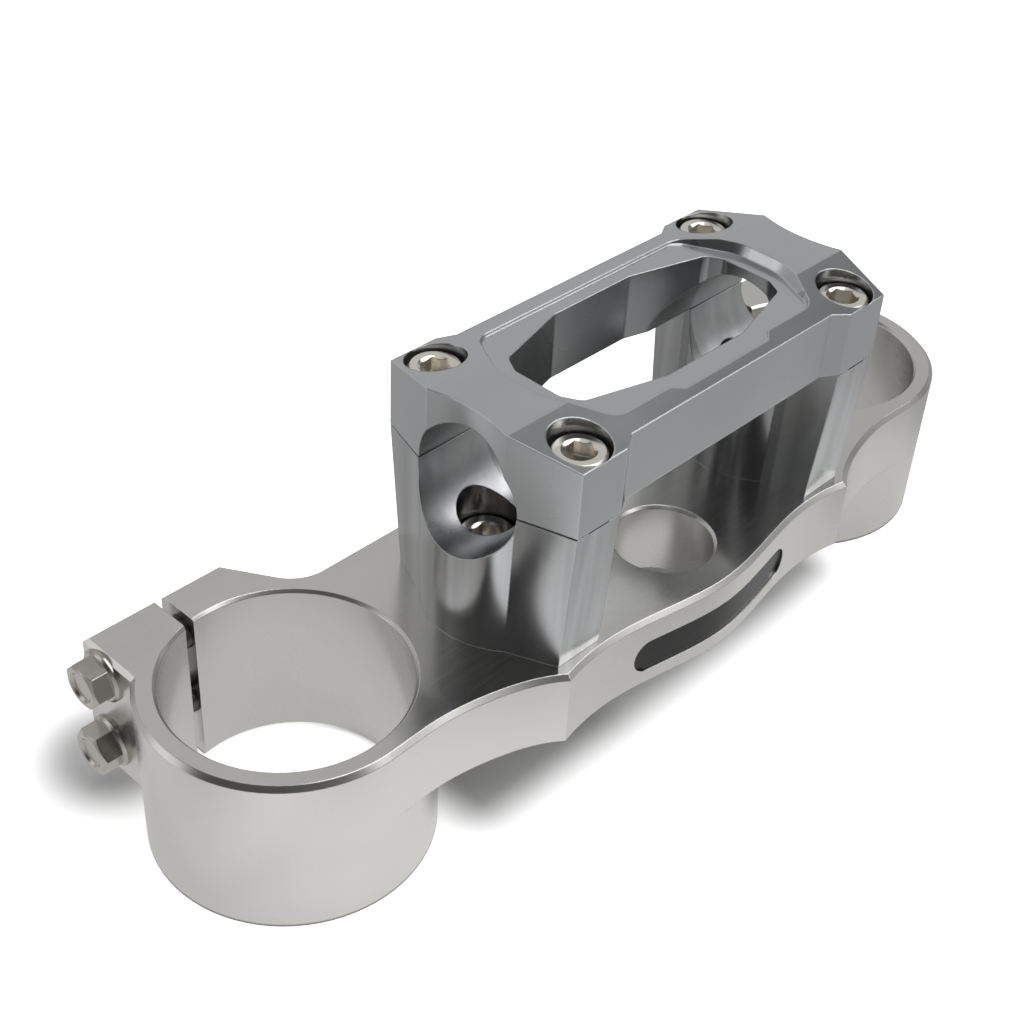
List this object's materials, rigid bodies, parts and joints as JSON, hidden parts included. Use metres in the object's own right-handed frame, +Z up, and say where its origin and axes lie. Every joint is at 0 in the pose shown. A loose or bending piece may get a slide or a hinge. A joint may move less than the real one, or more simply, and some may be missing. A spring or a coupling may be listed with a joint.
{
  "type": "motorcycle triple clamp",
  "caption": "Upper triple clamp of a motocross motorcycle: split fork clamps joined by a waved top bridge, with handlebar risers and a one-piece windowed bar clamp screwed on top.",
  "frame": {"origin": "steering stem axis in the underside of the top bridge's plate", "axes": "+X to the rider's right, along the line of the two forks; +Y to the front wheel; +Z up along the stem"},
  "size_m": [0.2512, 0.0825, 0.0972],
  "materials": {
    "bridge_alloy": "fine machined and brushed, clear",
    "riser_alloy": "satin machined",
    "clamp_alloy": "satin, slightly darker anodised grey",
    "inlay": "dark glossy, blank",
    "stainless": "bright stainless, turned head",
    "pinch_steel": "bright, slightly warm grey",
    "plated_steel": "plain zinc"
  },
  "bodies": {
    "root": {"top_bridge": "bridge_alloy", "bar_clamp_bridge": "clamp_alloy", "inlay_plate": "inlay", "left_riser": "riser_alloy", "right_riser": "riser_alloy", "clamp_bolt_left_front": "stainless", "clamp_bolt_left_rear": "stainless", "pinch_bolt_left_upper": "pinch_steel", "pinch_bolt_left_lower": "pinch_steel", "riser_bolt_left": "stainless", "riser_nut_left": "plated_steel", "riser_washer_left": "plated_steel", "clamp_bolt_right_front": "stainless", "clamp_bolt_right_rear": "stainless", "pinch_bolt_right_upper": "pinch_steel", "pinch_bolt_right_lower": "pinch_steel", "riser_bolt_right": "stainless", "riser_nut_right": "plated_steel", "riser_washer_right": "plated_steel"}
  },
  "joints": []
}
